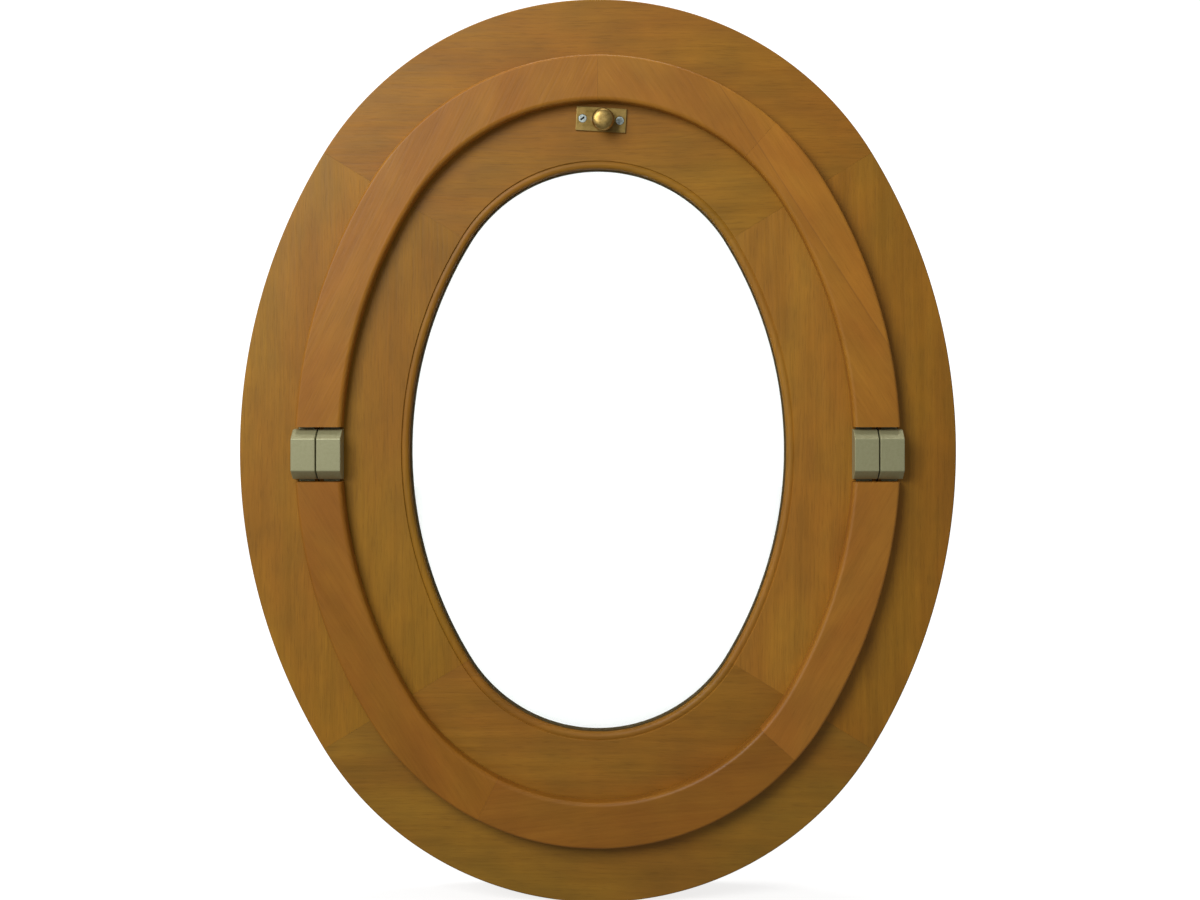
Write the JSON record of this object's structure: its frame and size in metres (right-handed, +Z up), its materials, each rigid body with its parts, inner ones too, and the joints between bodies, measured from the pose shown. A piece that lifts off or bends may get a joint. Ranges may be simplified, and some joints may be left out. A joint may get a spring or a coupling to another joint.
{
  "type": "oval centre-pivoted window",
  "caption": "Oval timber window with a fixed ring frame and a glazed sash that tips about a level mid-height axis, with a spring latch at its top.",
  "frame": {"origin": "centre of the oval, half way between the knob's face and the frame's outer face", "axes": "+Z up, +Y from the room towards the outside, +X to the right as seen from the room, along the pivots' axis"},
  "size_m": [0.595, 0.079, 0.75],
  "materials": {
    "oak": "golden oak stain under satin varnish",
    "chestnut": "slightly redder stained hardwood under satin varnish",
    "satin_zinc": "satin champagne grey",
    "brass": "polished, lightly aged",
    "bright_steel": "zinc plated",
    "black_rubber": "matt",
    "fibre_washer": "matt",
    "clear_glass": "clear float glass",
    "spacer_bar": "mill finish"
  },
  "bodies": {
    "frame": {"frame_top": "oak", "frame_left": "oak", "frame_bottom": "oak", "frame_right": "oak", "lower_band_left": "chestnut", "lower_band_foot": "chestnut", "lower_band_right": "chestnut", "lower_seal": "black_rubber", "outer_stop_left": "oak", "outer_stop_right": "oak", "outer_stop_seal": "black_rubber", "left_pivot_frame_block": "satin_zinc", "left_pivot_frame_block_screw_upper": "bright_steel", "left_pivot_frame_block_screw_lower": "bright_steel", "left_pivot_axle": "bright_steel", "left_friction_washer": "fibre_washer", "right_pivot_frame_block": "satin_zinc", "right_pivot_frame_block_screw_upper": "bright_steel", "right_pivot_frame_block_screw_lower": "bright_steel", "right_pivot_axle": "bright_steel", "right_friction_washer": "fibre_washer", "strike_plate": "brass", "strike_screw_left": "bright_steel", "strike_screw_right": "bright_steel"},
    "sash": {"sash_top": "oak", "sash_left": "oak", "sash_bottom": "oak", "sash_right": "oak", "upper_band_left": "chestnut", "upper_band_crown": "chestnut", "upper_band_right": "chestnut", "upper_seal": "black_rubber", "inner_gasket": "black_rubber", "inner_pane": "clear_glass", "spacer_bar": "spacer_bar", "outer_pane": "clear_glass", "outer_gasket": "black_rubber", "glazing_bead_top": "oak", "glazing_bead_left": "oak", "glazing_bead_bottom": "oak", "glazing_bead_right": "oak", "left_pivot_sash_block": "satin_zinc", "left_pivot_sash_block_screw_upper": "bright_steel", "left_pivot_sash_block_screw_lower": "bright_steel", "right_pivot_sash_block": "satin_zinc", "right_pivot_sash_block_screw_upper": "bright_steel", "right_pivot_sash_block_screw_lower": "bright_steel", "latch_plate": "brass", "latch_plate_screw_left": "bright_steel", "latch_plate_screw_right": "bright_steel", "latch_case": "brass", "latch_spring": "bright_steel"},
    "latch": {"latch_knob": "brass", "latch_stem": "brass", "latch_bolt": "brass"}
  },
  "joints": [
    {"name": "sash_pivot", "type": "hinge", "parent": "frame", "child": "sash", "pos_m": [0, -0.0205, -0.0024], "axis": [1, 0, 0], "range_deg": [0, 90]},
    {"name": "latch_slide", "type": "slide", "parent": "sash", "child": "latch", "axis": [0, 0, -1], "range_m": [0, 0.0052], "stiffness_N_per_m": 600, "springref_m": -0.006, "deforming": ["latch_spring"]}
  ]
}
